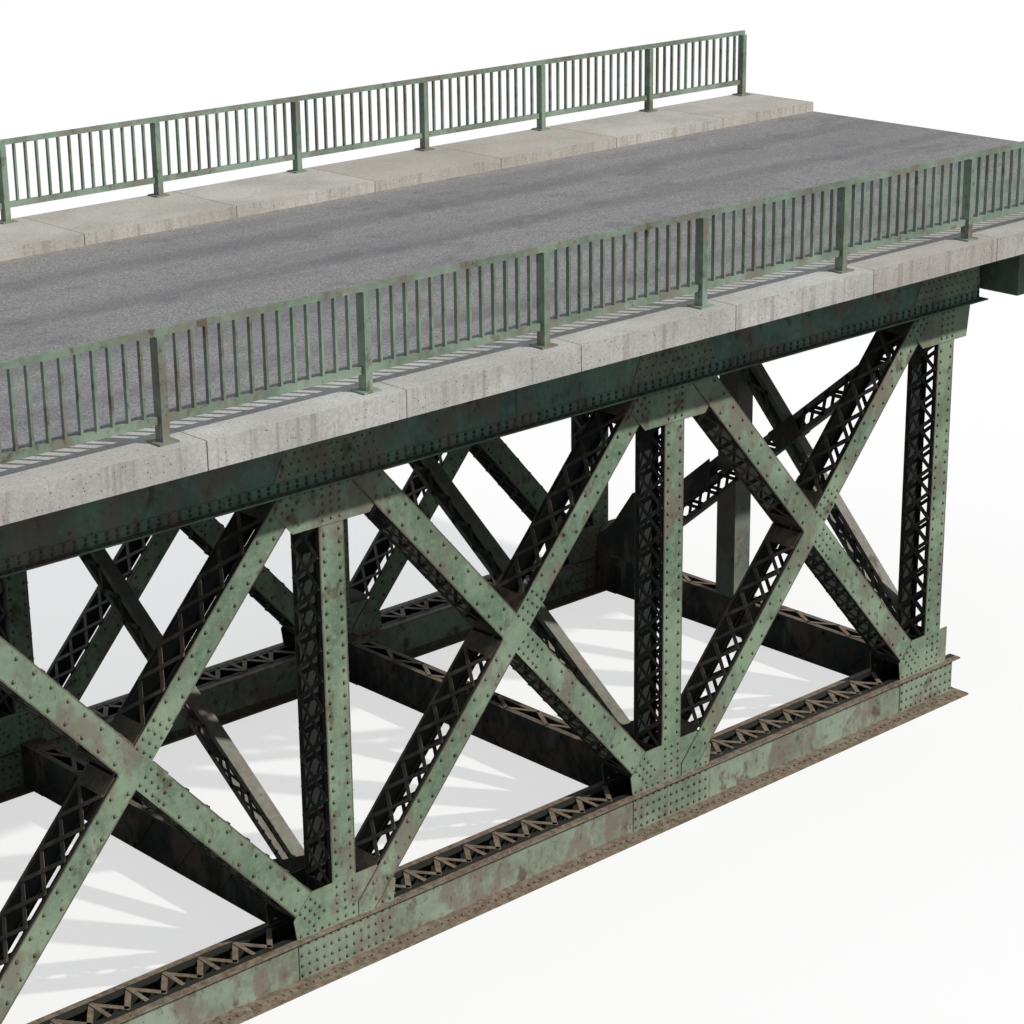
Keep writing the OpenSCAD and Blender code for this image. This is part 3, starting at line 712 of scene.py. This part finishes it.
def on_brace(start, slope, y):
    return (y, start[1] + (y - start[0]) * slope)


BRACE_BAR = (0.060, 0.008, 0.005)  # width, thickness and lift
BRACE_BAR_PITCH = 0.27
BRACE_BAR_EDGE = 0.055
MEETING_PLATE = (0.62, 0.35)
NEAR_CLEAR = 0.27


def brace_lacing():
    """Zig-zag bars on both faces of the sway braces and of the end frames' braces."""
    bars = Copies(BAR)

    def member(x, line, y0, y1):
        start, end = (np.array(on_brace(*line, y)) for y in (y0, y1))
        run = (end - start) / np.linalg.norm(end - start)
        side = np.array([-run[1], run[0]]) * (SWAY_DEPTH / 2 - BRACE_BAR_EDGE)
        count = max(2, round(np.linalg.norm(end - start) / BRACE_BAR_PITCH))
        for face in (-1, 1):
            px = x + face * SWAY_HALF
            for i in range(count):
                a = start + (end - start) * i / count
                b = start + (end - start) * (i + 1) / count
                p, q = (a + side, b - side) if i % 2 else (a - side, b + side)
                bar(bars, (px, *p), (px, *q), (face, 0, 0), *BRACE_BAR)

    sway, long, steep = ((SWAY_FOOT, SWAY_SLOPE), (LONG_TOP, LONG_SLOPE),
                         (STEEP_FOOT, STEEP_SLOPE))
    for x in INNER:
        member(x, sway, -2.25, 2.62)
    meet = LONG_TOP[0] + (LONG_TOP[1] - STEEP_FOOT[1]) / (STEEP_SLOPE - LONG_SLOPE)
    middle = on_brace(*long, meet)
    run = np.array([1.0, LONG_SLOPE]) / math.hypot(1.0, LONG_SLOPE)
    side = np.array([-run[1], run[0]])
    for end in (-HALF, HALF):
        member(end, long, -3.2, meet - NEAR_CLEAR)
        member(end, long, meet + NEAR_CLEAR, 1.6)
        member(end, steep, -3.2, meet - 0.30)
        member(end, steep, meet + 0.28, 0.02)
        for face in (-1, 1):
            bars.add((end + face * (SWAY_HALF + 0.006), *middle), (TIE_PLATE, 0, 0),
                     (0, *(run * MEETING_PLATE[0])), (0, *(side * MEETING_PLATE[1])))
    return bars


brace_lacing().piece("sway_brace_lacing", SHADED_LACING_PAINT, "inner_paint")


def plate_rivets():
    """Heads on the plates at the ends of the sway braces and on the tie plates of the struts."""
    heads = Copies(RIVET)
    for x in INNER:
        for face in (-1, 1):
            px = x + face * (SWAY_HALF + 0.010)
            for y in spaced(-3.0, -2.35, 0.13) + spaced(2.75, 3.2, 0.13):
                at_y, at_z = on_brace(SWAY_FOOT, SWAY_SLOPE, y)
                for off in (-0.13, 0.13):
                    rivet(heads, (px, at_y, at_z + off), (face, 0, 0), *FLAT_HEAD)
    for x in VERTICALS:
        for side in (-1, 1):
            px = x + side * (STRUT_HALF + 0.011)
            for edge in (-1, 1):
                for y in spaced(2.82, 3.19, 0.12):
                    for z in (0.075, 0.635):
                        rivet(heads, (px, edge * y, z), (side, 0, 0), *FLAT_HEAD)
                    rivet(heads, (x + side * STRUT_BAR_X, edge * y, STRUT_TOP + 0.011),
                          (0, 0, 1), *FLAT_HEAD)
    return heads


plate_rivets().piece("cross_frame_rivets", DARK_RIVET, "inner_paint", smooth=True)

# ---------------------------------------------------------------- floor, light, camera
FLOOR_SIZE = 400.0
FLOOR_DROP = 0.004


def floor_white():
    """Pale to the eye, with the shadow kept; dull to the bridge, so that it lights it weakly."""
    made = bpy.data.materials.new("floor_white")
    made.use_nodes = True
    net = Network(made.node_tree)
    net.tree.nodes.remove(net.tree.nodes["Principled BSDF"])
    seen = net.node("ShaderNodeLightPath", {}, {}, "Is Camera Ray")
    dull = net.node("ShaderNodeBsdfDiffuse", {}, {"Color": (0.14, 0.14, 0.14, 1)})
    pale = net.node("ShaderNodeBsdfDiffuse", {}, {"Color": (0.80, 0.80, 0.80, 1)})
    glow = net.node("ShaderNodeEmission", {}, {"Color": (1, 1, 1, 1), "Strength": 1.15})
    bright = net.node("ShaderNodeMixShader", {}, {0: 0.58, 1: pale, 2: glow})
    both = net.node("ShaderNodeMixShader", {}, {0: seen, 1: dull, 2: bright})
    net.feed(net.tree.nodes["Material Output"].inputs["Surface"], both)
    return made


floor_mesh = bpy.data.meshes.new("floor")
floor_shape = bmesh.new()
bmesh.ops.create_grid(floor_shape, x_segments=1, y_segments=1, size=FLOOR_SIZE)
floor_shape.to_mesh(floor_mesh)
floor_shape.free()
floor = bpy.data.objects.new("floor", floor_mesh)
floor.location = (0, 0, -FLOOR_DROP)
bpy.context.scene.collection.objects.link(floor)
floor_mesh.materials.append(floor_white())

world = bpy.data.worlds.new("studio")
bpy.context.scene.world = world
world.use_nodes = True
sky = Network(world.node_tree)
sky.tree.nodes.remove(sky.tree.nodes["Background"])
sky_seen = sky.node("ShaderNodeLightPath", {}, {}, "Is Camera Ray")
soft = sky.node("ShaderNodeBackground", {}, {"Color": (0.86, 0.94, 1.0, 1.0), "Strength": 0.42})
white = sky.node("ShaderNodeBackground", {}, {"Color": (1, 1, 1, 1), "Strength": 1.0})
backdrop = sky.node("ShaderNodeMixShader", {}, {0: sky_seen, 1: soft, 2: white})
sky.feed(sky.tree.nodes["World Output"].inputs["Surface"], backdrop)

SUN_FROM = Vector((0.46, -0.62, 0.60))
sun_data = bpy.data.lights.new("key_light", "SUN")
sun_data.energy = 3.2
sun_data.color = (1.0, 0.97, 0.92)
sun_data.angle = math.radians(1.2)
sun = bpy.data.objects.new("key_light", sun_data)
sun.rotation_euler = SUN_FROM.to_track_quat("Z", "Y").to_euler()
bpy.context.scene.collection.objects.link(sun)

CAMERA_AT = Vector((-16.325, -24.627, 14.799))
YAW, PITCH, ROLL = (math.radians(a) for a in (47.293, -18.81, -0.666))
forward = Vector((math.cos(YAW) * math.cos(PITCH), math.sin(YAW) * math.cos(PITCH),
                  math.sin(PITCH)))
right = Vector((math.sin(YAW), -math.cos(YAW), 0))
up = right.cross(forward)
turned_right = right * math.cos(ROLL) + up * math.sin(ROLL)
turned_up = up * math.cos(ROLL) - right * math.sin(ROLL)
lens = bpy.data.cameras.new("main_camera")
lens.sensor_width = 36.0
lens.lens = 84.65
lens.clip_end = 2000.0
camera = bpy.data.objects.new("main_camera", lens)
turn = Matrix((turned_right, turned_up, -forward)).transposed().to_4x4()
camera.matrix_world = Matrix.Translation(CAMERA_AT) @ turn
bpy.context.scene.collection.objects.link(camera)
bpy.context.scene.camera = camera
bpy.context.scene.view_settings.view_transform = "Standard"
